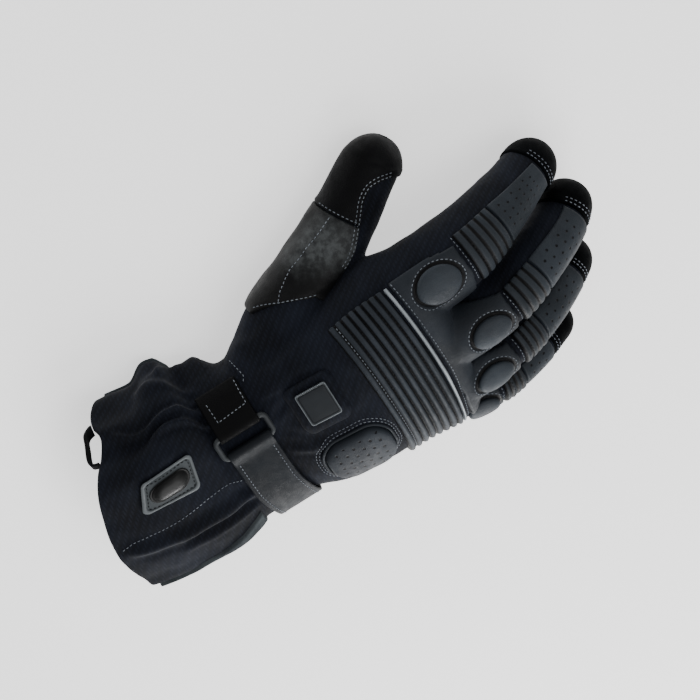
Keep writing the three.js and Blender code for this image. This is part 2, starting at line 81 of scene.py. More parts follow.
# The middle lines of the digits run from inside the hand to their tips
digits = {
    "index": dict(wide=21.3, tall=21, narrow=0.64, cap=15, turn=9, line=[
        (-41.5, 92, 47), (-45, 118, 52), (-46.5, 146, 51), (-48.5, 174, 41), (-49.3, 197, 28),
        (-49, 213.5, 16)]),
    "middle": dict(wide=16, tall=18.5, narrow=0.84, cap=15, turn=-2, line=[
        (-7.5, 92, 52), (-7.5, 120, 57), (-9.5, 152, 56), (-13.5, 180, 46.5), (-16, 203, 31.5),
        (-20.5, 217, 16.5)]),
    "ring": dict(wide=14.4, tall=17, narrow=0.86, cap=15, turn=-8, line=[
        (22, 90, 47), (22, 114, 52), (22, 142, 49), (21, 170, 38), (19, 193, 23), (17, 207, 12)]),
    "little": dict(wide=12.3, tall=15, narrow=0.88, cap=13, turn=-22, line=[
        (40, 78, 34), (42.6, 102, 38.5), (47.1, 128, 38), (49, 153, 30), (50.3, 172, 19), (50.8, 183, 12)]),
    "thumb": dict(wide=21.2, tall=18.5, narrow=0.72, cap=16, turn=0, line=[
        (-31, 24, 29), (-49.5, 49, 26), (-63.2, 77.7, 23.5), (-79.3, 104.7, 20), (-94.2, 126.8, 17.5),
        (-104.2, 143.4, 15.5)]),
}
fingerNames = ["index", "middle", "ring", "little"]
layers = {"wall": 2.6, "sole": 1.75}


def smooth(value, low, high):
    t = np.clip((value - low) / (high - low), 0, 1)
    return t * t * (3 - 2 * t)


def unit(vectors):
    return vectors / np.linalg.norm(vectors, axis=-1, keepdims=True)


def matched(*values):
    return np.broadcast_arrays(*(np.asarray(value, float) for value in values))


def swing(degrees, angle):
    return (degrees - angle + 540) % 360 - 180


# Millimetres in a degree round a skin
def perDegree(point, place, degrees):
    return np.linalg.norm(point(place, degrees, 0) - point(place, degrees + 1, 0))


def pathLengths(points):
    return np.concatenate([[0], np.cumsum(np.linalg.norm(np.diff(points, axis=0), axis=1))])


def follow(table, lengths, where):
    return np.stack([np.interp(where, lengths, column) for column in table.T], -1)


# A grid of places and angles round a skin
def roundGrid(places, sides):
    return np.meshgrid(places, np.arange(sides) * 360 / sides, indexing="ij")


# Round bars along a path, from the two directions across it
def swept(path, out, side, radius, sides):
    turn = np.arange(sides)[:, None] * 2 * math.pi / sides
    return path[..., None, :] + (out[..., None, :] * np.cos(turn) + side[..., None, :] * np.sin(turn)) * radius


def evened(path, rounds):
    for _ in range(rounds):
        path[1:-1] = path[1:-1] * 0.5 + (path[:-2] + path[2:]) * 0.25
    return path


def rowValue(column, y):
    ys, values = hand["rows"][:, 0], hand["rows"][:, column]
    chords = np.diff(values) / np.diff(ys)
    before, after = chords[:-1], chords[1:]
    total = np.where(before * after > 0, before + after, 1)
    inner = np.where(before * after > 0, 2 * before * after / total, 0)
    slopes = np.concatenate([chords[:1], inner, chords[-1:]])
    i = np.clip(np.searchsorted(ys, y, side="right") - 1, 0, len(ys) - 2)
    length = ys[i + 1] - ys[i]
    t = np.clip((y - ys[i]) / length, 0, 1)
    return (values[i] * (1 + 2 * t) * (1 - t) ** 2 + slopes[i] * length * t * (1 - t) ** 2
            + values[i + 1] * t * t * (3 - 2 * t) + slopes[i + 1] * length * t * t * (t - 1))


def foldHeight(degrees, y):
    height = 0
    for angle, spread, depth, start, end in hand["folds"]:
        across = swing(degrees, angle) / spread
        height = height + depth * np.exp(-across ** 2) * (1 - smooth(y, (start + end) / 2, end))
    return height


# Creases of the cloth: corners as (place, angle) on the hand's skin, half-width and height
creaseDegree = 0.95  # millimetres that a degree counts for
creases = [
    ([(-66, 165), (-44, 156.5), (-25, 151), (-5, 149.5)], 2.6, 2.4),
    ([(-42, 147), (-26, 140.5), (-8, 131)], 2.4, 2.0),
    ([(-70, 84), (-43.5, 77), (-29.5, 76), (-10, 75)], 3.0, 2.2),
    ([(-52, 70), (-30, 68), (-14, 66)], 2.4, -1.8),
    ([(-60, 128), (-42, 126), (-30, 121)], 3.0, 0.7),
    ([(16, 131), (30, 130.5), (42, 132), (56, 128)], 2.4, 1.0),
    ([(14, 89), (26.5, 84), (40, 86.5)], 2.2, 1.0),
    ([(20, 98), (28, 92), (36, 90)], 2.0, -0.7),
    ([(22, 150), (34, 146), (48, 150)], 3.2, 0.9),
    ([(52, 92), (60, 97), (66, 106)], 2.6, 0.7),
    ([(18, 112), (26, 118), (33, 126)], 2.2, -0.8),
    ([(-10, 172), (-24, 178), (-44, 186)], 3.0, 1.2),
    ([(20, 178), (30, 170), (42, 168)], 3.0, 1.0),
    ([(-46, 197), (-14, 196)], 8.0, -3.5),
    ([(-23, 190), (-10, 199)], 5.0, 4.5),
]


# The nearest distance from points to the lines between two rows of corners
def nearest(points, a, b):
    points, edge = points[..., None, :], b - a
    t = np.clip(((points - a) * edge).sum(-1) / (edge ** 2).sum(-1), 0, 1)
    return np.linalg.norm(points - a - t[..., None] * edge, axis=-1).min(-1)


def creaseHeight(degrees, y):
    height = 0
    points = np.stack([y, degrees * creaseDegree], -1)
    for corners, width, depth in creases:
        corners = np.array(corners) * (1, creaseDegree)
        best = nearest(points, corners[:-1], corners[1:])
        low, high = corners[:, 0].min(), corners[:, 0].max()
        fade = smooth(y, low - 4, low + 8) * (1 - smooth(y, high - 8, high + 4))
        ridge = np.exp(-(best / width) ** 2)
        hollow = np.exp(-((best - 2 * width) / width) ** 2)
        height = height + depth * fade * (ridge - 0.35 * hollow)
    return height


def rounded(value):
    return np.sign(value) * np.abs(value) ** (2 / hand["roundness"])


def handPoint(y, degrees, offset):
    y, degrees, offset = matched(y, degrees, offset)
    into = np.maximum(0, y - hand["capStart"]) / (hand["cap"] + offset)
    shrink = np.sqrt(np.maximum(0, 1 - into ** 2))
    out = offset + foldHeight(degrees, y)
    low, high = rowValue(3, y), rowValue(4, y)
    across = rounded(np.cos(np.radians(degrees)))
    up = rounded(np.sin(np.radians(degrees)))
    x = rowValue(1, y) + (rowValue(2, y) + out) * across * (0.75 + 0.25 * shrink)
    z = (high + low) / 2 + (((high - low) / 2 + out) * up - rowValue(5, y) * across) * shrink
    rim = hand["rimSlope"]
    bow = sum(depth * np.exp(-(swing(degrees, angle) / spread) ** 2)
              for depth, angle, spread in hand["rimBows"])
    slide = ((1 - smooth(y, -72, -18)) * (rim[1] * (z - 30) - rim[0] * x)
             - (1 - smooth(y, -74, -50)) * bow
             - smooth(y, 98, 126) * hand["knuckleSlope"] * np.maximum(0, x))
    return np.stack([x, y + slide, np.maximum(z, layers["sole"] - offset)], -1)


# A digit's skin: a smooth middle line through its points, by arc length
def makeSkin(wide, tall, narrow, cap, turn, line):
    points = np.array(line, float)
    padded = np.vstack([2 * points[0] - points[1], points, 2 * points[-1] - points[-2]])
    t = np.linspace(0, 1, 100, endpoint=False)[:, None]
    samples = []
    for i in range(len(points) - 1):
        p0, p1, p2, p3 = padded[i:i + 4]
        d0, d1, d2 = (math.sqrt(np.linalg.norm(b - a)) for a, b in ((p0, p1), (p1, p2), (p2, p3)))
        m1 = ((p1 - p0) / d0 - (p2 - p0) / (d0 + d1) + (p2 - p1) / d1) * d1
        m2 = ((p2 - p1) / d1 - (p3 - p1) / (d1 + d2) + (p3 - p2) / d2) * d1
        samples.append(p1 + m1 * t + (3 * (p2 - p1) - 2 * m1 - m2) * t ** 2
                       + (2 * (p1 - p2) + m1 + m2) * t ** 3)
    curve = np.vstack(samples + [points[-1:]])
    lengths = pathLengths(curve)
    length = lengths[-1]
    tangents = np.gradient(curve, lengths, axis=0)

    def point(place, degrees, offset):
        place, degrees, offset = matched(place, degrees, offset)
        held = np.minimum(place, length)
        tangent = unit(follow(tangents, lengths, held))
        side = unit(np.cross(tangent, [0, 0, 1]))
        normal = np.cross(side, tangent)
        taper = 1 - (1 - narrow) * smooth(held / length, 0.25, 1)
        into = np.maximum(0, place - (length - cap)) / (cap + offset)
        shrink = np.sqrt(np.maximum(0, 1 - into ** 2))
        angle = np.radians(degrees + turn)
        found = (follow(curve, lengths, held) + tangent * (place - held)[..., None]
                 + side * (np.cos(angle) * (wide * taper + offset) * shrink)[..., None]
                 + normal * (np.sin(angle) * (tall * taper + offset) * shrink)[..., None])
        found[..., 2] = np.maximum(found[..., 2], layers["sole"] - offset)
        return found

    return {"point": point, "length": length, "capStart": length - cap}


skins = {name: makeSkin(**sizes) for name, sizes in digits.items()}


# Mesh helpers
def gridFaces(rows, columns, closed=False):
    i, j = np.meshgrid(np.arange(rows - 1), np.arange(columns if closed else columns - 1), indexing="ij")
    k = (j + 1) % columns
    return np.stack([i * columns + j, (i + 1) * columns + j, (i + 1) * columns + k, i * columns + k],
                    -1).reshape(-1, 4)


# A tube's faces, with fans to the points that close its ends
def tubeFaces(rows, columns, start=None, end=None):
    faces = [gridFaces(rows, columns, closed=True)]
    ring = np.arange(columns)
    if start is not None:
        hub = np.full(columns, start)
        faces.append(np.stack([hub, ring, np.roll(ring, -1), hub], 1))
    if end is not None:
        hub, ring = np.full(columns, end), ring + (rows - 1) * columns
        faces.append(np.stack([hub, np.roll(ring, -1), ring, hub], 1))
    return np.vstack(faces)


def pick(faces, keep):
    faces = faces[keep]
    used = np.unique(faces)
    place = np.zeros(used[-1] + 1, int)
    place[used] = np.arange(len(used))
    return used, place[faces]


def joined(parts):
    points, faces, count = [], [], 0
    for p, f in parts:
        points.append(p)
        faces.append(np.asarray(f) + count)
        count += len(p)
    return np.vstack(points), np.vstack(faces)


def plainMesh(name, points, faces):
    mesh = bpy.data.meshes.new(name)
    mesh.from_pydata(points.tolist(), [], [list(dict.fromkeys(face)) for face in faces.tolist()])
    return mesh


laid = []  # the surfaces that stitches are set down on
slots = {part["node"]: part["material_slot"] for part in frame["record"]["subparts"]}


# A piece stands for the node of its own name, unless it is told others
def makePiece(name, points, faces, finish, slot=None, stands=None, lay=None, fill=None):
    node = "".join("_" + letter.lower() if letter.isupper() else letter for letter in name)
    stands = stands or ([node] if node in slots else [])
    points = points.reshape(-1, 3)
    if slot != "thread":
        laid.append((points, faces))
    mesh = plainMesh(name, (points - tableCentre) / 1000, faces)
    mesh.validate()
    mesh.polygons.foreach_set("use_smooth", [True] * len(mesh.polygons))
    if lay is not None:
        attribute = mesh.attributes.new("lay", "FLOAT_VECTOR", "POINT")
        attribute.data.foreach_set("vector", np.asarray(lay, np.float32).ravel())
    mesh.materials.append(finishes.get(finish, finish))
    piece = bpy.data.objects.new(name, mesh)
    bpy.context.collection.objects.link(piece)
    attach(piece, "root")
    if stands:
        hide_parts(*stands)


def edgedLines(start, end, step):
    rim = np.array((0, 0.2, 0.5, 0.9))
    inner = np.linspace(start + 1.5, end - 1.5, max(2, round((end - start - 3) / step) + 1))
    return np.concatenate([[start - 0.25], start + rim, inner, end - rim[::-1], [end + 0.25]])


def rolledEdge(inward, top, radius=0.9):
    share = np.clip(inward / radius, 0, 1)
    return np.where(inward < -0.01, -0.8, top - radius + radius * np.sqrt(1 - (1 - share) ** 2))


# A leather panel on a skin, with an edge that rolls down to the cloth. The relief is added to
# its top; it takes millimetres along, millimetres across and the distance to the edge.
def layPanel(name, point, places, span, finish, top=1.75, step=1.0, relief=None, shape=None):
    degree = perDegree(point, sum(places) / 2, sum(span) / 2)
    across = edgedLines(0, (span[1] - span[0]) * degree, step)
    wide = across[-1] - 0.25
    u, v = np.meshgrid(edgedLines(*places, step), across, indexing="ij")
    inward = np.minimum(np.minimum(u - places[0], places[1] - u), np.minimum(v, wide - v))
    height = rolledEdge(inward, top)
    if relief:
        height = np.where(inward >= 0, height + relief(u, v, inward), height)
    where = shape(u, v / wide) if shape else (u, span[0] + v / degree)
    lay = np.stack([u, v, inward], -1).reshape(-1, 3)
    makePiece(name, point(*where, height), gridFaces(*u.shape), finish, lay=lay)


def waviness(points, size, seed):
    shift = Vector((seed, 0, 0))
    values = [noise.noise((Vector(p) + shift) / size) for p in points.reshape(-1, 3).tolist()]
    return np.array(values).reshape(points.shape[:-1])


# Soft wrinkles as a relief for a panel, in millimetres along and across it
def wrinkles(size, depth, seed):
    def relief(u, v, inward):
        return waviness(np.stack([u, v, u * 0], -1), size, seed) * depth * smooth(inward, 0, 4)
    return relief


stitch = {
    "pitch": 2.35, "length": 1.55, "radius": 0.24, "lift": -0.1, "arch": 0.25,
    "rings": 7, "corners": 6,
    "caps": np.array([[0, 1, 2, 3], [0, 3, 4, 5], [41, 40, 39, 38], [41, 38, 37, 36]]),
}


def stitchesAlong(points, normals):
    far = pathLengths(points)
    count = max(1, int(far[-1] / stitch["pitch"]))
    middles = (np.arange(count) + 0.5) * far[-1] / count
    rings, corners = stitch["rings"], stitch["corners"]
    shares = np.linspace(-1, 1, rings)
    centres = [follow(points, far, middles + share * stitch["length"] / 2) for share in shares]
    up = unit(follow(normals, far, middles))
    side = np.cross(unit(centres[-1] - centres[0]), up)
    bodies = []
    for share, centre in zip(shares, centres):
        swell = stitch["radius"] * math.sqrt(max(0.04, 1 - share ** 4))
        raised = stitch["lift"] + stitch["arch"] * (1 - share ** 2)
        bodies.append(swept(centre + up * raised, side, up, swell, corners))
    template = np.vstack([tubeFaces(rings, corners), stitch["caps"]])
    faces = template[None] + (np.arange(count) * rings * corners)[:, None, None]
    return np.stack(bodies, 1).reshape(-1, 3), faces.reshape(-1, 4)


def skinPath(point, corners, height, step=1.0):
    corners = np.array(corners, float)
    dense = []
    for a, b in zip(corners[:-1], corners[1:]):
        reach = np.linalg.norm(point(*a, height) - point(*b, height))
        shares = np.linspace(0, 1, max(2, int(reach / step)), endpoint=False)[:, None]
        dense.append(a + (b - a) * shares)
    place, degrees = np.vstack(dense + [corners[-1:]]).T
    points = point(place, degrees, height)
    return points, point(place, degrees, height + 1) - points


# Shader helpers
class Wire:
    # A socket that can be used in sums; each operator adds one Math node
    def __init__(self, finish, socket):
        self.finish, self.socket = finish, socket

    def math(self, operation, *values):
        return self.finish.node("Math", {"operation": operation}, dict(enumerate(values)))

    def __add__(self, other): return self.math("ADD", self, other)
    def __radd__(self, other): return self.math("ADD", other, self)
    def __sub__(self, other): return self.math("SUBTRACT", self, other)
    def __rsub__(self, other): return self.math("SUBTRACT", other, self)
    def __mul__(self, other): return self.math("MULTIPLY", self, other)
    def __rmul__(self, other): return self.math("MULTIPLY", other, self)
    def __truediv__(self, other): return self.math("DIVIDE", self, other)
    def __rtruediv__(self, other): return self.math("DIVIDE", other, self)


class Finish:
    # One material: its constant values go straight to the shader's sockets
    def __init__(self, name, **constants):
        self.material = bpy.data.materials.new(name)
        self.material.use_nodes = True
        self.tree = self.material.node_tree
        self.shader = self.tree.nodes["Principled BSDF"]
        for key, value in constants.items():
            self.shader.inputs[key.replace("_", " ")].default_value = value

    def feed(self, socket, value):
        if isinstance(value, Wire):
            self.tree.links.new(value.socket, socket)
        else:
            socket.default_value = value

    def node(self, kind, settings={}, sockets={}, out=0):
        made = self.tree.nodes.new("ShaderNode" + kind)
        for key, value in settings.items():
            setattr(made, key, value)
        for key, value in sockets.items():
            self.feed(made.inputs[key], value)
        return Wire(self, made.outputs[out])

    def place(self):
        return self.node("TexCoord", out="Object")

    # A panel's own millimetres, along it and across it
    def lay(self):
        laid = self.node("Attribute", {"attribute_name": "lay"}, out="Vector")
        along = self.node("SeparateXYZ", {}, {"Vector": laid}, out="X")
        return along, Wire(self, along.socket.node.outputs["Y"])

    def cloud(self, scale, detail=2, roughness=0.5):
        return self.node("TexNoise", {}, {"Vector": self.place(), "Scale": scale, "Detail": detail,
                                          "Roughness": roughness})

    def cells(self, scale):
        return self.node("TexVoronoi", {"feature": "DISTANCE_TO_EDGE"},
                         {"Vector": self.place(), "Scale": scale}, out="Distance")

    def mix(self, factor, first, second):
        return self.node("Mix", {"data_type": "RGBA"}, {0: factor, 6: first, 7: second}, out=2)

    def ease(self, value, low, high):
        return self.node("MapRange", {"interpolation_type": "SMOOTHSTEP"},
                         {"Value": value, "From Min": low, "From Max": high})

    def finish(self, colour, roughness, bumps):
        self.feed(self.shader.inputs["Base Color"], colour)
        self.feed(self.shader.inputs["Roughness"], roughness)
        normal = None
        for height, strength, distance in bumps:
            sockets = {"Height": height, "Strength": strength, "Distance": distance}
            if normal:
                sockets["Normal"] = normal
            normal = self.node("Bump", {}, sockets)
        if normal:
            self.feed(self.shader.inputs["Normal"], normal)
        return self.material


def colour(code):
    parts = [int(code[k:k + 2], 16) / 255 for k in (0, 2, 4)]
    return tuple(c / 12.92 if c <= 0.04045 else ((c + 0.055) / 1.055) ** 2.4 for c in parts) + (1,)


# The first of these tones is painted shade, for the grooves between ribs and beside the pads' sunk grooves.
# The second of these tones is paler, for a patch that is partly real wear and partly painted sheen.
seam, wearAndSheen, hole = colour("020203"), colour("4c4f50"), colour("05060a")


# Pebbled leather: soft cells with fine creases between them. It can have holes, painted shade in the grooves between
# ribs (first, pitch), painted shade beside a sunk groove (its reach) and a paler patch of wear and painted sheen
# (along, across, reach).
def leatherFinish(name, base, pale, rough, gloss, grain=1.0, holes=None, shadedGrooves=None, sunk=0, worn=None):
    f = Finish(name, Specular_IOR_Level=gloss)
    pebbles = f.ease(f.cells(950), 0.0, 0.35)
    creases = f.ease(f.cloud(240, 4, 0.6), 0.35, 0.65)
    patches = f.ease(f.cloud(38, 3), 0.35, 0.7)
    tone = f.mix(patches * 0.55 + (1 - pebbles) * 0.12, colour(base), colour(pale))
    roughness = rough + (creases - 0.5) * 0.1 + (patches - 0.5) * 0.08
    bumps = [(pebbles * 0.6 + creases * 0.6, 0.32 * grain, 0.00025), (f.cloud(70, 3), 0.35, 0.0012)]
    if holes:
        mask = holes(f)
        tone = f.mix(mask, tone, hole)
        bumps.append((1 - mask, 1.0, 0.0009))
    # Painted shade: the grooves between the ribs are darkened
    if shadedGrooves:
        start, pitch = shadedGrooves
        share = (f.lay()[0] - start) / pitch
        fromRib = share.math("ABSOLUTE", share.math("FRACT", share) - 0.5)
        tone = f.mix(f.ease(fromRib * pitch, pitch / 2 - 1.15, pitch / 2 - 0.45), tone, seam)
    # Painted shade: darker within a reach of the pads' sunk grooves
    if sunk:
        tone = f.mix(f.ease(f.lay()[0], sunk * 0.25, sunk), seam, tone)
    # A paler patch, partly real wear and partly painted sheen, fading out over its reach
    if worn:
        u, v = f.lay()
        du, dv = u - worn[0], v - worn[1]
        far = u.math("SQRT", du * du + dv * dv) + (f.cloud(70, 4, 0.6) - 0.5) * 22
        rubbedAndSheen = (1 - f.ease(far, worn[2] * 0.15, worn[2])) * (0.35 + 0.65 * creases)
        tone = f.mix(rubbedAndSheen, tone, wearAndSheen)
    return f.finish(tone, roughness, bumps)


# Round holes in staggered rows over the panel's own millimetres
def holeMask(pitch, radius, start, end, low, high):
    def mask(f):
        u, v = f.lay()
        a, b = (u - start) / pitch, (v - low) / pitch
        shift = a.math("MODULO", a.math("FLOOR", a), 2) * 0.5
        x = a.math("FRACT", a) - 0.5
        y = a.math("FRACT", b + shift) - 0.5
        far = a.math("SQRT", x * x + y * y) * pitch
        spot = 1 - f.ease(far, radius - 0.15, radius + 0.15)
        inside = (f.ease(u, start - 0.1, start) * (1 - f.ease(u, end, end + 0.1))
                  * f.ease(v, low - 0.1, low) * (1 - f.ease(v, high, high + 0.1)))
        return spot * inside
    return mask


# Matt woven cloth: a fine cross weave with slack threads
def clothFinish(name, base, pale, rough=0.85, weave=180.0, strength=0.4):
    f = Finish(name, Sheen_Weight=0.03, Sheen_Roughness=0.4, Specular_IOR_Level=0.15)
    slack = {"Vector": f.place(), "Distortion": 0.6, "Detail": 1.0, "Detail Scale": 2.0}
    warp = f.node("TexWave", {"bands_direction": "Y"}, {**slack, "Scale": weave}, out="Fac")
    weft = f.node("TexWave", {"bands_direction": "DIAGONAL"}, {**slack, "Scale": weave * 0.6}, out="Fac")
    threads = warp * weft
    patches = f.ease(f.cloud(30, 3), 0.35, 0.7)
    tone = f.mix(patches * 0.45 + threads * 0.4, colour(base), colour(pale))
    return f.finish(tone, rough + (f.cloud(900, 2) - 0.5) * 0.15,
                    [(threads, strength, 0.0002), (f.cloud(120, 4, 0.6), 0.3, 0.0010)])


def plainFinish(name, base, pale, rough, gloss, metallic=0.0, scratch=0.15):
    f = Finish(name, Metallic=metallic, Specular_IOR_Level=gloss)
    marks = f.cloud(420, 4, 0.65)
    patches = f.ease(f.cloud(60, 2), 0.3, 0.7)
    return f.finish(f.mix(patches, colour(base), colour(pale)), rough + (marks - 0.5) * scratch,
                    [(marks, 0.08, 0.0003)])


# Each finish: its material's name, two tones, roughness and gloss
backTones, fingerTones = ("1b1f24", "2c3138"), ("20252a", "343a41")
finishes = {
    "textile": clothFinish("softTextile", "090b11", "1d222e"),
    "lining": clothFinish("brushedLining", "0b0c0f", "14161a", 0.95),
    "back": leatherFinish("backLeather", *backTones, 0.58, 0.18),
    # The pads get a paler copy of the back leather: painted light where the pads catch the lamps
    "pad": leatherFinish("padLeatherPaintedLight", "262b31", "3c434a", 0.55, 0.2),
    "palm": leatherFinish("palmLeather", "030304", "0c0d0f", 0.6, 0.1),
    # The thumb's paler patch stands for wear and painted sheen on the leather
    "thumb": leatherFinish("thumbLeather", "030304", "0e0f10", 0.52, 0.15, worn=(79, 13, 26)),
    "strap": leatherFinish("strapLeather", "15181c", "23272c", 0.6, 0.12),
    "tip": leatherFinish("tipLeather", "020304", "06080b", 0.68, 0.03),
    "gusset": leatherFinish("gussetSuede", "2a2e31", "5a6063", 0.9, 0.05, grain=1.8),
    "rubber": plainFinish("mattRubber", "1b1e22", "23272b", 0.6, 0.2),
    "badge": plainFinish("badgeRubber", "34393c", "43484b", 0.6, 0.2),
    "badgeRim": plainFinish("badgeRim", "4f5457", "5e6366", 0.55, 0.25),
    "gloss": plainFinish("glossDome", "040505", "0a0b0b", 0.42, 0.2, scratch=0.05),
    "silver": plainFinish("silverTrim", "858c91", "a3aaaf", 0.45, 0.3, metallic=0.1),
    "bezel": plainFinish("bezelSide", "33373a", "44484c", 0.5, 0.25, metallic=0.1),
    "line": plainFinish("bezelEdge", "5d6367", "7b8186", 0.5, 0.25),
    "buckle": plainFinish("satinBuckle", "2c2f32", "3a3e41", 0.5, 0.3, metallic=0.1),
    "webbing": clothFinish("loopWebbing", "050608", "101216", 0.85, 150, 0.6),
    "thread": plainFinish("paleThread", "676d75", "8b9199", 0.7, 0.15),
    "darkThread": plainFinish("greyThread", "08090b", "101215", 0.7, 0.1),
}
print("finishes made")


# The cloth of the hand, the fingers and the thumb is fused into one skin and then smoothed
def loft(point, places, sides, offset, pole):
    points = point(*roundGrid(places, sides), offset).reshape(-1, 3)
    count = len(points)
    return np.vstack([points, points[:sides].mean(0), pole]), tubeFaces(len(places), sides, count, count + 1)


# Places along a skin that draw together towards the pole of its round end
def towardsPole(first, capStart, end, step, turns=(0, 1.55, 12)):
    return np.concatenate([np.arange(first, capStart, step),
                           capStart + (end - capStart) * np.sin(np.linspace(*turns))])


def handLoft(offset):
    end = hand["capStart"] + hand["cap"] + offset
    return loft(handPoint, towardsPole(-6, hand["capStart"], end, 2.0), 180, offset, handPoint(end, 90, offset))


def digitLoft(name, offset):
    point, capStart = skins[name]["point"], skins[name]["capStart"]
    end = skins[name]["length"] + offset
    return loft(point, towardsPole(0, capStart, end, 2.0), 72, offset, point(end, 90, offset))


def fuse(offset, voxel):
    points, faces = joined([handLoft(offset)] + [digitLoft(name, offset) for name in digits])
    mesh = plainMesh("fuse", points, faces)
    holder = bpy.data.objects.new("fuse", mesh)
    bpy.context.collection.objects.link(holder)
    remesh = holder.modifiers.new("fuse", "REMESH")
    remesh.mode = "VOXEL"
    remesh.voxel_size = voxel
    fused = bpy.data.meshes.new_from_object(holder.evaluated_get(bpy.context.evaluated_depsgraph_get()))
    points = np.empty(len(fused.vertices) * 3)
    fused.vertices.foreach_get("co", points)
    corners = np.empty(len(fused.loops), int)
    fused.loops.foreach_get("vertex_index", corners)
    bpy.data.objects.remove(holder)
    bpy.data.meshes.remove(mesh)
    bpy.data.meshes.remove(fused)
    return points.reshape(-1, 3), corners.reshape(-1, 4)


def edgesOf(faces):
    pairs = np.sort(np.vstack([faces[:, [k, (k + 1) % 4]] for k in range(4)]), axis=1)
    return np.unique(pairs, axis=0, return_counts=True)


def relax(points, faces, rounds):
    a, b = edgesOf(faces)[0].T
    size = len(points)
    count = np.bincount(a, minlength=size) + np.bincount(b, minlength=size)
    for _ in range(rounds):
        total = np.stack([np.bincount(a, column[b], size) + np.bincount(b, column[a], size)
                          for column in points.T], 1)
        points = points + (total / np.maximum(count, 1)[:, None] - points) * 0.5
    return points


def pointNormals(points, faces):
    a, b, c, d = (points[faces[:, k]] for k in range(4))
    normals = np.cross(c - a, d - b)
    total = np.zeros_like(points)
    for k in range(4):
        np.add.at(total, faces[:, k], normals)
    return total / np.maximum(np.linalg.norm(total, axis=1, keepdims=True), 1e-9)


def openWrist(points, faces, level=0.2):
    used, faces = pick(faces, (points[faces][..., 1] > level).all(1))
    points = points[used].copy()
    edges, counts = edgesOf(faces)
    rim = np.unique(edges[counts == 1])
    points[rim, 1] = np.where(points[rim, 1] < level + 3, level, points[rim, 1])
    return points, faces


# Place and angle of points on the hand, the other way round from handPoint
def handWhere(points):
    y = points[:, 1]
    low, high = rowValue(3, y), rowValue(4, y)
    across = (points[:, 0] - rowValue(1, y)) / rowValue(2, y)
    up = (points[:, 2] - (high + low) / 2) / ((high - low) / 2)
    power = hand["roundness"] / 2
    turn = np.degrees(np.arctan2(np.sign(up) * np.abs(up) ** power, np.sign(across) * np.abs(across) ** power))
    return y, turn % 360


# Waves of the cloth: size, seed and depth
shell = {"voxel": 1.25, "rounds": 5, "liningVoxel": 2.2, "liningRounds": 2, "waves": [(16, 3, 0.55), (6.5, 8, 0.22)]}
bulk, bulkFaces = fuse(0, shell["voxel"])
bulk = relax(bulk, bulkFaces, shell["rounds"])
cloth = BVHTree.FromPolygons(bulk.tolist(), bulkFaces.tolist())
points, faces = openWrist(bulk, bulkFaces)
y, angles = handWhere(points)
rumple = sum(waviness(points, size, seed) * depth for size, seed, depth in shell["waves"])
settled = smooth(points[:, 2], 3, 14) * smooth(y, 4, 14)
crease = creaseHeight(angles, y) * (1 - smooth(y, 62, 70)) * (angles > 20) * (angles < 200)
points = points + pointNormals(points, faces) * ((rumple + crease) * settled)[:, None]
makePiece("handTextile", points, faces, "textile", fill=0.4,
          stands=["hand_back", "hand_palm", "thumb"] + [name + "_finger" for name in fingerNames])
inner, innerFaces = fuse(-layers["wall"], shell["liningVoxel"])
points, faces = openWrist(relax(inner, innerFaces, shell["liningRounds"]), innerFaces)
makePiece("handLining", points, faces[:, ::-1], "lining", "textile")
print("hand cloth made")

# The cuff is one closed sleeve: its outside, its rounded rim and its lining
cuff = {"sides": 300, "step": 1.3, "start": 0.2, "rim": -73.4, "waves": [(17, 5, 0.9), (7, 2, 0.25)]}
outer = np.arange(cuff["start"], cuff["rim"] - 0.1, -cuff["step"])
half = layers["wall"] / 2
turn = np.linspace(0, math.pi, 9)
profile = np.vstack([
    np.stack([outer, outer * 0], 1),
    np.stack([cuff["rim"] - half * np.sin(turn), half * np.cos(turn) - half], 1),
    np.stack([outer[::-1], outer * 0 - layers["wall"]], 1),
])
u, v = roundGrid(profile[:, 0], cuff["sides"])
flat = handPoint(u, v, 0)
rumple = creaseHeight(v, u) + sum(waviness(flat, size, seed) * depth for size, seed, depth in cuff["waves"])
rumple = rumple * smooth(-u, 2, 14) * smooth(flat[..., 2], 3, 14)
points = handPoint(u, v, profile[:, 1:] + rumple)
makePiece("cuffTextile", points, tubeFaces(*v.shape)[:, ::-1], "textile", stands=["cuff"], fill=0.35)
print("cuff made")

# Leather under the hand and under the cuff; the cuff's edge on the back runs unevenly
cuffPalm = {"places": (-70, -16), "span": (208, 412), "edge": ((-70, -56, -43, -30, -16), (397, 396, 401, 405, 411))}


def cuffPalmShape(u, share):
    first = cuffPalm["span"][0]
    return u, first + (np.interp(u, *cuffPalm["edge"]) - first) * share


layPanel("palmPanel", handPoint, (23, 104), (222, 330), "palm", step=1.6)
layPanel("cuffPalmPanel", handPoint, cuffPalm["places"], cuffPalm["span"], "gusset", step=1.6, shape=cuffPalmShape)

# Accordion pleats on the back, with the reflective strip beyond them
pleats = {"span": (14, 148), "places": (66, 100), "count": 8, "low": 0.8, "high": 3.1,
          "strip": (101.2, 102.9), "stripHeight": 2.4}


def bowedPoint(y, degrees, offset):
    share = (degrees - pleats["span"][0]) / (pleats["span"][1] - pleats["span"][0])
    return handPoint(y + 3.6 * np.sin(math.pi * share) + 2.5 * (1 - share), degrees, offset)


def ribPitch(places, count):
    return (places[1] - places[0]) / count


def ribRelief(places, count, depth):
    def relief(u, v, inward):
        return -depth * (1 - np.abs(np.sin((u - places[0]) / ribPitch(places, count) * math.pi)) ** 0.55)
    return relief


pitch = ribPitch(pleats["places"], pleats["count"])
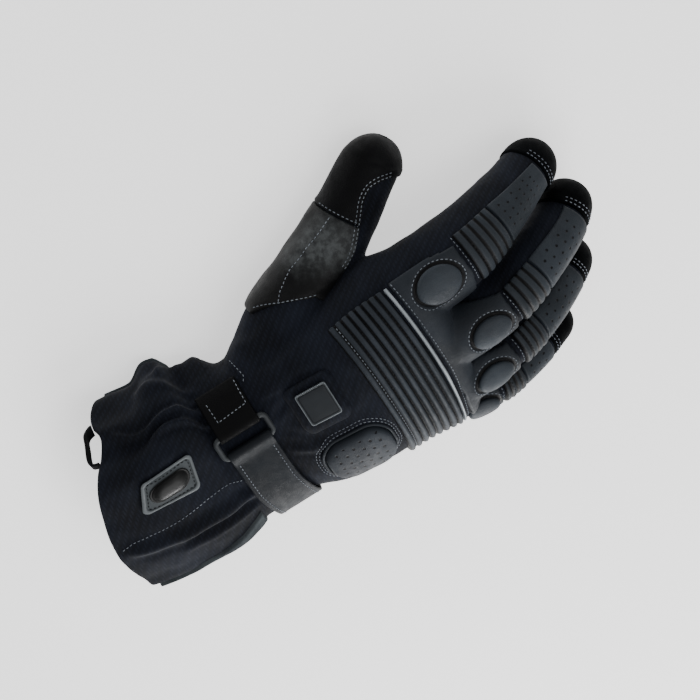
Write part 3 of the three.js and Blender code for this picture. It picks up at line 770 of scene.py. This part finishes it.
# The grooves between these ribs get painted shade
pleated = leatherFinish("pleatedLeather", "23282e", "3a4048", 0.58, 0.18, shadedGrooves=(pleats["places"][0], pitch))
layPanel("backPleats", bowedPoint, pleats["places"], pleats["span"], pleated, pleats["high"], 0.6,
         ribRelief(pleats["places"], pleats["count"], pleats["high"] - pleats["low"]))
layPanel("reflectiveStrip", bowedPoint, pleats["strip"], pleats["span"], "silver", pleats["stripHeight"], 0.6)
print("back pleats made")

# Knuckle leather: cast outwards from a line inside the hand onto the cloth
knuckle = {
    "outline": np.array([
        (-60, 104.9), (-62, 126), (-60, 143), (-45, 145), (-30, 143), (-25.5, 130), (-24, 130), (-21, 152), (-8, 154),
        (2, 152), (4, 121), (10, 121), (13, 143), (22, 145), (32, 143), (35, 117), (37, 117), (39, 127), (50, 128),
        (60, 126), (62, 106.9), (40, 108.6), (20, 109.3), (-10, 109.3), (-40, 107.9)], float),
    "axis": (-4, 20),
    "places": (102.5, 157, 0.75),
    "angles": (8, 172, 0.6),
    "top": 1.7,
    "groove": (1.13, 1.2),  # its place as a share of a pad, and its depth
}
# Each pad: its place, half its length and half its width
pads = {"index": (36, 10, 9.5), "middle": (46, 9.5, 7.6), "ring": (38, 9, 7.1), "little": (39, 8, 6.4)}


def outlineDistance(x, y, outline):
    a, b = outline, np.roll(outline, -1, axis=0)
    far = nearest(np.stack([x, y], -1), a, b)
    y1, y2 = a[:, 1], b[:, 1]
    rise = np.where(y2 == y1, 1, y2 - y1)
    x, y = x[..., None], y[..., None]
    crossing = ((y1 > y) != (y2 > y)) & (x < (b[:, 0] - a[:, 0]) * (y - y1) / rise + a[:, 0])
    return np.where(crossing.sum(-1) % 2 == 1, far, -far)


# Places and angles round a knuckle pad
def padOutline(name, turn, share=1.0, extra=0.0):
    place, long, wide = pads[name]
    degree = perDegree(skins[name]["point"], place, 90)
    return (place + np.cos(turn) * (long * share + extra),
            90 + np.sin(turn) * (wide * share + extra) / degree)


def padRing(name, share, count, height):
    turn = np.linspace(0, 2 * math.pi, count, endpoint=False)
    return skins[name]["point"](*padOutline(name, turn, share), height)


ys, phis = np.arange(*knuckle["places"]), np.radians(np.arange(*knuckle["angles"]))
points = np.full((len(ys), len(phis), 3), np.nan)
normals = np.full(points.shape, (0.0, 0.0, 1.0))
for i, y in enumerate(ys):
    for j, phi in enumerate(phis):
        ray = Vector((math.cos(phi), 0, math.sin(phi)))
        hit, normal, _, _ = cloth.ray_cast(Vector((knuckle["axis"][0], y, knuckle["axis"][1])) + ray * 150, -ray)
        if hit:
            points[i, j] = hit
            normals[i, j] = normal
met = ~np.isnan(points[..., 0])
points = np.nan_to_num(points)
inward = outlineDistance(points[..., 0], points[..., 1], knuckle["outline"])
height = np.where(inward > 0, rolledEdge(inward, knuckle["top"]), -0.8)
groove = np.full(inward.shape, 9.0)
share, depth = knuckle["groove"]
for name in fingerNames:
    near = np.linalg.norm(points[..., None, :] - padRing(name, share, 96, 0), axis=-1).min(-1)
    near = near - near.min()
    height = height - depth * np.exp(-(near / 1.2) ** 2) * (inward > 0)
    groove = np.minimum(groove, near)
lifted = (points + normals * height[..., None]).reshape(-1, 3)
grid = gridFaces(*met.shape)
kept = (met.ravel()[grid].all(1) & (inward.ravel()[grid].max(1) > -0.6)
        & (points[..., 2].ravel()[grid].min(1) > 40))
used, faces = pick(grid, kept)
lay = np.stack([groove, groove * 0, inward], -1).reshape(-1, 3)[used]
# The knuckle leather darkens beside the pads' grooves: painted shade
grooved = leatherFinish("knuckleLeather", *backTones, 0.58, 0.18, sunk=1.5)
makePiece("knucklePanel", lifted[used], faces, grooved, lay=lay)
print("knuckle leather made")


# A raised cushion over a round outline: rings from the rim to the middle
def crowned(name, rings, finish, fill=None, lay=None):
    points = np.vstack(rings + [rings[-1].mean(0)])
    faces = tubeFaces(len(rings), len(rings[0]), end=len(points) - 1)[:, ::-1]
    makePiece(name, points, faces, finish, lay=lay, fill=fill)


padSteps = [(1.0, 0.2), (1.03, 1.0), (1.04, 1.8), (1.02, 2.35), (0.97, 2.8), (0.9, 3.1), (0.8, 3.3),
            (0.67, 3.42), (0.5, 3.5), (0.34, 3.55), (0.18, 3.58)]
for name in fingerNames:
    crowned(name + "KnucklePad", [padRing(name, share, 72, height) for share, height in padSteps], "pad", 0.7)

# Finger leather: gathered pleats, a perforated panel and a tip cap on each. The forefinger's
# narrows towards its tip.
fingerLeather = {
    "index": {"pleats": (53, 74), "count": 5, "back": (75, 110), "tip": 112,
              "low": (46, 50, 62), "high": (134, 131, 119)},
    "middle": {"pleats": (62, 80), "count": 4, "back": (81, 116), "tip": 118},
    "ring": {"pleats": (55, 70), "count": 4, "back": (71, 105), "tip": 107},
    "little": {"pleats": (51, 63), "count": 4, "back": (64, 84), "tip": 86},
}
fingerSpan = (44, 140)
tipCap = {"top": 1.25, "sides": 96, "rim": np.array([-0.25, 0, 0.2, 0.5, 0.9, 1.4]), "turns": (0.02, 1.53, 16)}


def fingerShape(sizes):
    def shape(u, share):
        low, high = (np.interp(u, (53, 75, 112), sizes.get(key, (plain,) * 3))
                     for key, plain in zip(("low", "high"), fingerSpan))
        return u, low + (high - low) * share
    return shape


for name in fingerNames:
    sizes = fingerLeather[name]
    skin = skins[name]
    point = skin["point"]
    degree = perDegree(point, 90, 90)
    start, end = sizes["back"]
    perforated = leatherFinish(name + "PerforatedLeather", *fingerTones, 0.58, 0.18,
                               holes=holeMask(4.6, 0.62, start + 2, end - 4, 24 * degree, 84 * degree))
    # The gathered pleats' grooves get painted shade too
    gathered = leatherFinish(name + "GatheredLeather", *fingerTones, 0.58, 0.18,
                             shadedGrooves=(sizes["pleats"][0], ribPitch(sizes["pleats"], sizes["count"])))
    layPanel(name + "Pleats", point, sizes["pleats"], fingerSpan, gathered, 2.3, 0.5,
             ribRelief(sizes["pleats"], sizes["count"], 1.1), fingerShape(sizes))
    layPanel(name + "Back", point, sizes["back"], fingerSpan, perforated, step=0.9, shape=fingerShape(sizes))
    along = towardsPole(sizes["tip"] + 2, skin["capStart"], skin["length"] + 1.75, 1.2, tipCap["turns"])
    places = np.concatenate([sizes["tip"] + tipCap["rim"], along])
    u, v = roundGrid(places, tipCap["sides"])
    points = point(u, v, rolledEdge(u - sizes["tip"], tipCap["top"], tipCap["top"])).reshape(-1, 3)
    pole = point(skin["length"] + 1.75, 90, 1.75)
    makePiece(name + "TipCap", np.vstack([points, pole]), tubeFaces(*u.shape, end=len(points)), "tip")
print("finger leather made")

# Thumb leather in two pieces with a seam across
thumb = {
    "seam": np.array([(30, 84), (67, 80), (75.5, 75), (84, 74), (91.5, 80), (98, 86), (104.5, 92), (110.5, 97),
                      (117.5, 97), (123, 83), (126.5, 66), (129, 30), (131, -20), (132.5, -58), (150, -60)], float),
    "lastAngle": 300,
    "start": 44,
    "joint": 96.5,
    "gap": 0.4,
    "base": (54.5, 97, 0.36, 30),  # place, angle, slope towards the palm, lowest place
}


def thumbBase(degrees):
    place, angle, slope, lowest = thumb["base"]
    return np.maximum(lowest, place - slope * np.maximum(0, degrees - angle))


def thumbShape(start, end):
    def shape(u, share):
        place = u
        for _ in range(3):
            first = np.interp(place, *thumb["seam"].T)
            degrees = first + (thumb["lastAngle"] - first) * share
            low = thumbBase(degrees) if start == thumb["start"] else start
            place = low + (end - low) * (u - start) / (end - start)
        return place, degrees
    return shape


thumbPoint = skins["thumb"]["point"]
start, end = thumb["start"], thumb["joint"] - thumb["gap"]
layPanel("thumbPanel", thumbPoint, (start, end), (80, thumb["lastAngle"]), "thumb", step=1.1,
         relief=wrinkles(11, 1.3, 4), shape=thumbShape(start, end))
start, end = thumb["joint"] + thumb["gap"], skins["thumb"]["length"] + 2.7
layPanel("thumbTipPanel", thumbPoint, (start, end), (60, thumb["lastAngle"]), "palm", step=0.9,
         relief=wrinkles(13, 0.9, 7), shape=thumbShape(start, end))
print("thumb leather made")


# Flat rounded outlines laid on the hand's skin at a spot: its place, its angle and a turn
def roundedOutline(long, wide, corner, count=8):
    points = []
    for cx, cy, start in ((1, 1, 0), (-1, 1, 90), (-1, -1, 180), (1, -1, 270)):
        for k in range(count + 1):
            turn = math.radians(start + 90 * k / count)
            points.append((cx * (long / 2 - corner) + corner * math.cos(turn),
                           cy * (wide / 2 - corner) + corner * math.sin(turn)))
    return np.array(points)


def laidOutline(outline, spot):
    place, degrees, turn = spot
    c, s = math.cos(math.radians(turn)), math.sin(math.radians(turn))
    outline = outline @ np.array([[c, s], [-s, c]])
    return place + outline[:, 0], degrees + outline[:, 1] / perDegree(handPoint, place, degrees)


def plate(name, spot, outline, steps, finish, fill=None, lay=None):
    rings = [handPoint(*laidOutline(outline * share, spot), height) for share, height in steps]
    crowned(name, rings, finish, fill, lay)


# A raised line round a flat outline
def hoop(name, spot, outline, width, height, finish, slot):
    long, wide = outline.max(0)
    section = ((0.5, -1.2), (0.5, -0.35), (0.35, -0.08), (0, 0), (-0.35, -0.08), (-0.5, -0.35), (-0.5, -1.2))
    sizes = [(1 + width * a / long, 1 + width * a / wide) for a, b in section]
    rings = np.stack([handPoint(*laidOutline(outline * size, spot), height + b)
                      for size, (a, b) in zip(sizes, section)])
    makePiece(name, rings, tubeFaces(*rings.shape[:2])[:, ::-1], finish, slot)


# The perforated guard beside the wrist, and the button's pocket
guard = {
    "spot": (47, 67, 0),
    "outline": roundedOutline(37, 28.5, 11.5),
    "steps": ((1, -0.8), (1.01, 0.6), (1.01, 1.9), (0.995, 3.0), (0.965, 3.7), (0.92, 4.15), (0.82, 4.45),
              (0.66, 4.65), (0.45, 4.8), (0.2, 4.9)),
    "piping": (roundedOutline(39.8, 31.3, 12.9, 14), 0.6, 0.9),  # outline, height, radius
}
guardLeather = leatherFinish("guardLeather", "22262c", "363c43", 0.58, 0.15,
                             holes=holeMask(4.9, 0.75, -14.7, 14.7, -12.2, 12.2))
outline = np.column_stack([guard["outline"], guard["outline"][:, 0] * 0])
guardLay = np.vstack([outline * share for share, _ in guard["steps"]] + [(0, 0, 0)])
plate("wristGuard", guard["spot"], guard["outline"], guard["steps"], guardLeather, 0.6, guardLay)
button = {
    "spot": (42, 110, 0),
    "pocket": ((1.05, -0.8), (1.0, 0.5), (0.95, 1.5), (0.88, 2.5), (0.78, 2.85), (0.6, 2.9), (0.3, 2.9)),
    "bezel": ((1.02, 2.4), (1.0, 3.4), (0.985, 5.6), (0.97, 6.2), (0.95, 6.45), (0.925, 6.5), (0.9, 6.45),
              (0.88, 6.2), (0.87, 5.2), (0.5, 5.2), (0.2, 5.2)),
    "face": ((1.0, 4.0), (1.0, 5.4), (0.98, 5.9), (0.94, 6.1), (0.86, 6.15), (0.6, 6.0), (0.3, 5.9)),
}
plate("buttonPocket", button["spot"], roundedOutline(27, 30, 5), button["pocket"], "textile", 0.4)
print("guard and pocket made")

# The badge: a raised rim, a sunk line, a plate and a glossy dome; and the button's bezel and face
badge = {
    "spot": (-43, 108.5, -12),
    "frame": ((1.0, -0.8), (1.0, 1.0), (0.985, 1.4), (0.96, 1.5), (0.93, 1.5), (0.9, 1.5), (0.88, 1.4), (0.86, 1.35),
              (0.84, 1.4), (0.82, 1.5), (0.8, 1.52), (0.5, 1.52), (0.2, 1.52)),
    "dome": ((1.0, 0.4), (1.0, 1.9), (0.985, 2.2), (0.96, 2.3), (0.93, 2.2), (0.9, 2.1), (0.86, 2.6), (0.8, 3.3),
             (0.7, 4.0), (0.55, 4.6), (0.38, 4.9), (0.15, 5.0)),
}
plate("portFrame", badge["spot"], roundedOutline(27, 20, 3.2), badge["frame"], "badge")
hoop("portRim", badge["spot"], roundedOutline(25.6, 18.6, 2.6), 1.5, 2.2, "badgeRim", "rubber")
plate("portDome", badge["spot"], roundedOutline(20.7, 11.7, 5.8), badge["dome"], "gloss")
plate("buttonBezel", button["spot"], roundedOutline(18, 18, 1.4, 5), button["bezel"], "bezel")
hoop("bezelLine", button["spot"], roundedOutline(17.3, 17.3, 1.2, 5), 0.45, 6.7, "line", "bezel")
plate("buttonFace", button["spot"], roundedOutline(16, 16, 0.9, 5), button["face"], "rubber")
print("badge and button made")

# Strap, patch and ring; the strap and the patch each turn round one bar of the ring
buckle = {"angle": 112, "height": 3.6, "across": 6, "long": 30, "bar": 1.5, "bend": 2.6, "turnRadius": 2.55}
strap = {"width": 26, "drift": 5, "stitches": 10.4, "thick": 1.4, "edge": 0.6}
angle, height = buckle["angle"], buckle["height"]
ringCentre = handPoint(0, angle, height)
ringAcross = unit(handPoint(0, angle + 3, height) - handPoint(0, angle - 3, height))
ringUp = np.array([ringAcross[2], 0, -ringAcross[0]])
alongHand = np.array([0, 1.0, 0])


def alongSkin(start, end, count, height):
    return handPoint(0, np.linspace(start, end, count), height)


def roundBar(side, start, end):
    turn, radius = np.radians(np.linspace(start, end, 22))[:, None], buckle["turnRadius"]
    return (ringCentre + ringAcross * (side * buckle["across"] + radius * np.cos(turn))
            + ringUp * radius * np.sin(turn))


# Towards the little finger's side the strap drifts to the fingers
def drifted(points, drift):
    return points + alongHand * (drift * smooth(points[..., :1], 12, 50))


def band(name, path, width, drift, finish):
    path = np.vstack(path)
    far = pathLengths(path)
    path = evened(follow(path, far, np.linspace(0, far[-1], int(far[-1] / 0.9))), 4)
    ahead = unit(np.gradient(path, axis=0))
    out = np.stack([-ahead[:, 2], ahead[:, 0] * 0, ahead[:, 0]], 1)
    half, edge = strap["thick"] / 2, strap["edge"]
    reach = width / 2 - edge
    rim = [(reach + edge * math.cos(t), half * math.sin(t)) for t in np.linspace(-math.pi / 2, math.pi / 2, 9)]
    face = [(x, half) for x in np.linspace(reach, -reach, int(width / 1.1))[1:-1]]
    section = np.array(rim + face + [(-x, -z) for x, z in rim + face])
    points = drifted(path[:, None] + out[:, None] * section[None, :, 1:] + alongHand * section[None, :, :1], drift)
    hubs = points[[0, -1]].mean(1)
    points = np.vstack([points.reshape(-1, 3), hubs])
    faces = tubeFaces(len(path), len(section), len(points) - 2, len(points) - 1)
    makePiece(name, points, faces, finish)
    return path, out


strapPath, strapOut = band("wristStrap", [alongSkin(70, 106, 30, 1.05), roundBar(-1, -90, 100),
                                          alongSkin(98, -34, 120, 3.0)],
                           strap["width"], strap["drift"], "strap")
band("strapPatch", [alongSkin(160, 138, 24, 3.0), roundBar(1, 80, 270), alongSkin(132, 160, 30, 1.05)],
     24, 0, "palm")

# The ring: a round bar bent to a rectangle
corners = roundedOutline(2 * buckle["across"], buckle["long"], buckle["bend"])
ahead = unit(np.roll(corners, -1, 0) - np.roll(corners, 1, 0))
flat = np.stack([ringAcross, alongHand])
points = swept(ringCentre + corners @ flat, ahead[:, ::-1] * (1, -1) @ flat, ringUp[None], buckle["bar"], 16)
points = np.concatenate([points, points[:1]])
makePiece("buckleRing", points, tubeFaces(len(points), 16)[:, ::-1], "buckle")

# The pull loop: a flat webbing half ring at the rim
pull = {"place": -75, "angle": 165, "long": 8.6, "wide": 12, "thick": 1.4, "low": -4.5, "high": 1.5}
degree = perDegree(handPoint, pull["place"], pull["angle"])
heights = np.linspace(pull["low"], pull["high"], 7)
section = [(0, h) for h in heights] + [(pull["thick"], h) for h in heights[::-1]]
turns = np.linspace(math.pi / 2, math.pi * 1.5, 49)
points = np.stack([[handPoint(pull["place"] + (pull["long"] - inset) * math.cos(t),
                              pull["angle"] + (pull["wide"] - inset) * math.sin(t) / degree, h)
                    for inset, h in section] for t in turns])
makePiece("pullLoop", points, tubeFaces(len(turns), len(section)), "webbing")
print("straps made")

# Piping round the guard, stood out from a line inside the hand
outline, height, radius = guard["piping"]
path = handPoint(*laidOutline(outline, guard["spot"]), height)
ahead = unit(np.roll(path, -1, 0) - np.roll(path, 1, 0))
out = path * (1, 0, 1) - (0, 0, 28)
out = unit(out - ahead * (out * ahead).sum(1, keepdims=True))
points = swept(path, out, np.cross(ahead, out), radius, 12)
points = np.concatenate([points, points[:1]])
makePiece("guardPiping", points, tubeFaces(len(points), 12), "back", "back_leather")

# Stitches: rows of short threads, set down on whatever lies under them
ground = BVHTree.FromPolygons(*[part.tolist() for part in joined(laid)])


def settle(points, normals):
    found = points.copy()
    for i, (p, n) in enumerate(zip(points, normals)):
        n = Vector(n).normalized()
        hit = ground.ray_cast(Vector(p) + n * 5, -n, 9)
        if hit[0]:
            found[i] = hit[0]
    return found


def ringRow(outline, spot):
    at = np.stack(laidOutline(outline, spot), 1)
    return np.vstack([at, at[:1]])


def padRow(name, extra):
    return np.stack(padOutline(name, np.linspace(0, 2 * math.pi, 73), extra=extra), 1)


# A row of the thumb moved sideways by millimetres
def besideRow(row, shift):
    scale = (1, 0.34)
    row = np.array(row, float)
    row = evened(follow(row, np.arange(len(row)), np.linspace(0, len(row) - 1, 60)) * scale, 8)
    ahead = unit(np.gradient(row, axis=0))
    return (row + np.stack([-ahead[:, 1], ahead[:, 0]], 1) * shift) / scale


def arcRow(place, start, end):
    return np.stack([np.full(25, place), np.linspace(start, end, 25)], 1)


# Each row: its skin, its corners, its height over the skin, and its thread where it is dark
thumbRow = [(73, 77), (75.5, 75), (84, 74), (91.5, 80), (98, 86), (104.5, 92), (110.5, 98), (117.5, 98),
            (123, 84), (126.5, 66)]
rows = {
    "handStitches": [
        ("bowed", arcRow(70.25, 146, 16), 1.3),
        ("bowed", arcRow(105.9, 150, 20), 2.0),
        ("hand", ringRow(roundedOutline(43, 34.5, 14.5, 10), guard["spot"]), 0.3),
        ("hand", ringRow(roundedOutline(46, 37.5, 16, 10), guard["spot"]), 0.3),
    ] + [("bowed", arcRow(66 + 4.25 * k, 146, 16), 1.3, "darkThread") for k in range(2, 8)],
    "cuffStitches": [
        ("hand", [(-71, 86.5), (-66, 88), (-41.5, 88), (-24, 88.5), (-13.5, 88)], 0),
        ("hand", ringRow(roundedOutline(22.4, 15.6, 1.2, 5), badge["spot"]), 1.5, "darkThread"),
    ],
    "fingerStitches": [(name, padRow(name, 2.6), 1.75) for name in fingerNames],
    "thumbStitches": [
        ("thumb", besideRow(thumbRow, 1.2), 1.75),
        ("thumb", besideRow(thumbRow, 3.2), 1.75),
        ("thumb", [(98.3, 172), (98.3, 130), (98.3, 92)], 1.75),
        ("thumb", [(95, 137), (89, 139), (80, 142), (73.5, 146), (66.5, 148), (59, 150), (52.5, 148), (46, 143),
                   (41.5, 135)], 1.75),
        ("thumb", [(32.5, 165), (42, 133), (56, 98)], 1.75),
    ],
    "patchStitches": [
        ("hand", [(11, 157), (10.8, 150.5), (10.3, 133), (-7.5, 131), (-8, 150)], 3.7),
        ("hand", [(14.5, 152), (16.5, 157), (15.5, 165.5), (14, 178)], 0.2),
    ],
}
for name in fingerNames:
    start, tip = fingerLeather[name]["pleats"][0], fingerLeather[name]["tip"]
    rows["fingerStitches"] += [
        (name, arcRow(start - 0.9, 50, 136), 1.75),
        (name, arcRow(start + 4.2, 50, 136), 1.2, "darkThread"),
        (name, arcRow(tip + 1.3, 46, 142), 1.75),
        (name, arcRow(tip + 3.4, 46, 142), 1.75),
    ]
for name, several in rows.items():
    for finish, ending in (("thread", ""), ("darkThread", "Dark")):
        parts = []
        for skin, corners, height, *dark in several:
            if bool(dark) == bool(ending):
                point = {"bowed": bowedPoint, "hand": handPoint}.get(skin) or skins[skin]["point"]
                points, normals = skinPath(point, corners, height)
                parts.append(stitchesAlong(settle(points, normals), normals))
        if parts:
            makePiece(name + ending, *joined(parts), finish, "thread")

parts = []
shown = slice(56, len(strapPath) - 3)
for side in (-1, 1):
    points = drifted(strapPath[shown] + alongHand * side * strap["stitches"], strap["drift"])
    parts.append(stitchesAlong(settle(points, strapOut[shown]), strapOut[shown]))
makePiece("strapStitches", *joined(parts), "thread", "thread")
print("stitches made")

# Floor, light and camera
bpy.ops.mesh.primitive_plane_add(size=6)
floor = bpy.context.object
floor.name = "floor"
paleFloor = Finish("paleFloor", Emission_Color=(1, 1, 1, 1), Emission_Strength=1.0)
floor.data.materials.append(paleFloor.finish(
    paleFloor.mix(paleFloor.cloud(3), colour("f2f2f2"), colour("f6f6f6")), 0.9, []))

world = bpy.data.worlds.new("paleRoom")
bpy.context.scene.world = world
world.use_nodes = True
background = world.node_tree.nodes["Background"]
background.inputs["Color"].default_value = (1, 1, 1, 1)
background.inputs["Strength"].default_value = 0.5

# Each light: its place, its aim, its size and its power
lights = {
    "keyLight": ((0.95, -0.15, 0.18), (0.02, 0, 0.04), 0.4, 6),
    "fillLight": ((0.8, -0.1, 0.8), (0.02, 0, 0.04), 0.7, 7),
    "topLight": ((-0.1, 0.3, 1.2), (0, 0, 0.03), 0.8, 4),
}
for name, (place, aim, size, power) in lights.items():
    lamp = bpy.data.lights.new(name, "AREA")
    lamp.size = size
    lamp.energy = power
    holder = bpy.data.objects.new(name, lamp)
    holder.location = place
    holder.rotation_euler = (Vector(aim) - Vector(place)).to_track_quat("-Z", "Y").to_euler()
    bpy.context.collection.objects.link(holder)

lens = bpy.data.cameras.new("camera")
lens.lens = 107.5
lens.sensor_width = 36
camera = bpy.data.objects.new("camera", lens)
bpy.context.collection.objects.link(camera)
camera.matrix_world = Matrix((
    (0.4341, -0.6947, -0.5736, -0.63008),
    (0.8480, 0.5299, 0.0, 0.00441),
    (0.3040, -0.4864, 0.8192, 0.9462),
    (0, 0, 0, 1)))
bpy.context.scene.camera = camera
